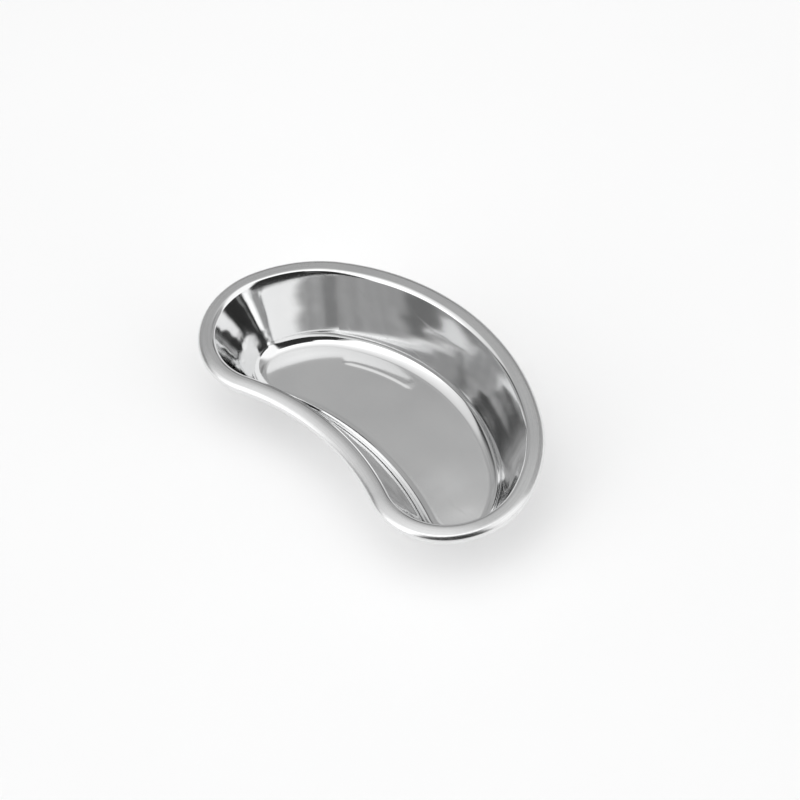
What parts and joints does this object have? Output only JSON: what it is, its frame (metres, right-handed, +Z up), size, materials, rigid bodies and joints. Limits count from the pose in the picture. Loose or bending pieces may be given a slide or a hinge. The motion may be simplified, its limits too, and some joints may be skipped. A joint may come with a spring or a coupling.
{
  "type": "kidney dish",
  "caption": "Kidney-shaped stainless steel dish: flat base, sloping walls and a flanged rim with a turned-down edge, for holding dressings, instruments or fluids at the bedside.",
  "frame": {"origin": "centre of the bounding box in plan, on the underside of the flat base", "axes": "+X along the length, +Y towards the outward-curving side, +Z up out of the open top"},
  "size_m": [0.25, 0.1358, 0.044],
  "materials": {
    "stainless_steel": "polished inside, satin brushed on the rim and outside"
  },
  "bodies": {
    "root": {"kidney_dish": "stainless_steel"}
  },
  "joints": []
}
